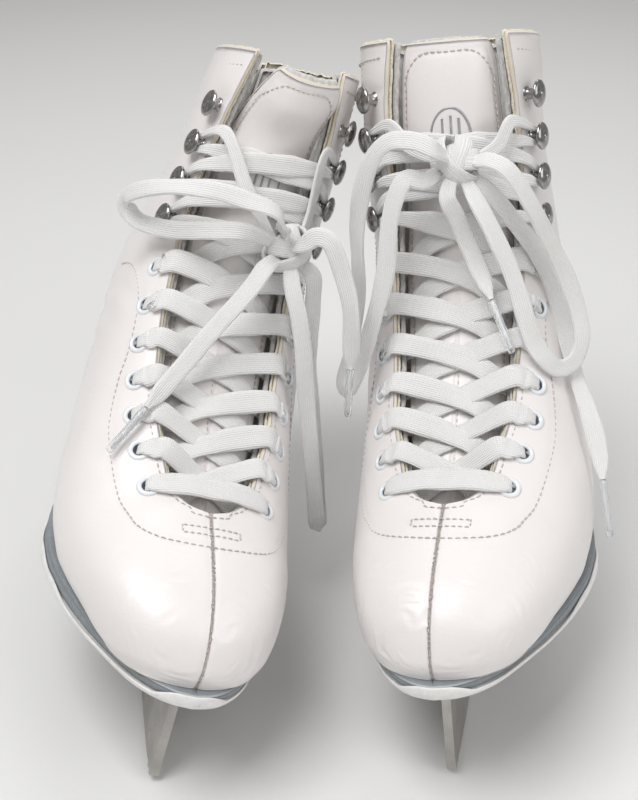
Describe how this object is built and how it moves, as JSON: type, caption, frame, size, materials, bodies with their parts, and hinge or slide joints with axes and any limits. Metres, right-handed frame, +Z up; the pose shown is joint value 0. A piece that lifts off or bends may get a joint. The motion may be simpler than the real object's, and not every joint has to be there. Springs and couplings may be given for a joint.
{
  "type": "pair of figure skates",
  "caption": "Pair of white lace-up figure skates with felt-lined leather boots, hooks and eyelets, tied laces and steel blades with toe picks.",
  "frame": {"origin": "centre of the pair's box, on the surface that the blades stand on", "axes": "+Z up, -Y towards the toes, +X to the wearer's left skate"},
  "size_m": [0.2568, 0.2745, 0.2741],
  "materials": {
    "leather": "semi-gloss",
    "felt": "matt felt",
    "board": "matt fibre board",
    "midsole": "satin",
    "outsole": "satin",
    "insole": "matt",
    "steel": "brushed",
    "chrome": "dark polished",
    "lace": "woven",
    "aglet": "clear gloss"
  },
  "bodies": {
    "left_skate": {"left_aglet_a": "aglet", "left_aglet_b": "aglet", "left_blade": "steel", "left_heel_counter": "board", "left_heel_plate": "steel", "left_hook_inner_1": "chrome", "left_hook_inner_2": "chrome", "left_hook_inner_3": "chrome", "left_hook_inner_4": "chrome", "left_hook_outer_1": "chrome", "left_hook_outer_2": "chrome", "left_hook_outer_3": "chrome", "left_hook_outer_4": "chrome", "left_insole": "insole", "left_lacing": "lace", "left_lasting_board": "board", "left_lining_inner": "felt", "left_lining_outer": "felt", "left_loop_a": "lace", "left_loop_b": "lace", "left_midsole": "midsole", "left_outsole": "outsole", "left_tail_a": "lace", "left_tail_b": "lace", "left_toe_plate": "steel", "left_toe_puff": "board", "left_upper_inner": "leather", "left_upper_outer": "leather"},
    "right_skate": {"right_aglet_a": "aglet", "right_aglet_b": "aglet", "right_blade": "steel", "right_heel_counter": "board", "right_heel_plate": "steel", "right_hook_inner_1": "chrome", "right_hook_inner_2": "chrome", "right_hook_inner_3": "chrome", "right_hook_inner_4": "chrome", "right_hook_outer_1": "chrome", "right_hook_outer_2": "chrome", "right_hook_outer_3": "chrome", "right_hook_outer_4": "chrome", "right_insole": "insole", "right_lacing": "lace", "right_lasting_board": "board", "right_lining_inner": "felt", "right_lining_outer": "felt", "right_loop_a": "lace", "right_loop_b": "lace", "right_midsole": "midsole", "right_outsole": "outsole", "right_tail_a": "lace", "right_tail_b": "lace", "right_toe_plate": "steel", "right_toe_puff": "board", "right_upper_inner": "leather", "right_upper_outer": "leather"},
    "left_tongue": {"left_tongue_face": "leather", "left_tongue_pad": "felt"},
    "right_tongue": {"right_tongue_face": "leather", "right_tongue_pad": "felt"}
  },
  "joints": [
    {"name": "right_lift_off", "type": "slide", "parent": "left_skate", "child": "right_skate", "axis": [-1, 0, 0], "range_m": [0, 0.2]},
    {"name": "left_tongue_fold", "type": "hinge", "parent": "left_skate", "child": "left_tongue", "pos_m": [0.05534, -0.04698, 0.10715], "axis": [0.9668, -0.2143, 0.1392], "range_deg": [-8, 0]},
    {"name": "right_tongue_fold", "type": "hinge", "parent": "right_skate", "child": "right_tongue", "pos_m": [-0.05236, -0.04788, 0.10326], "axis": [0.938, 0.157, -0.309], "range_deg": [-8, 0]}
  ]
}
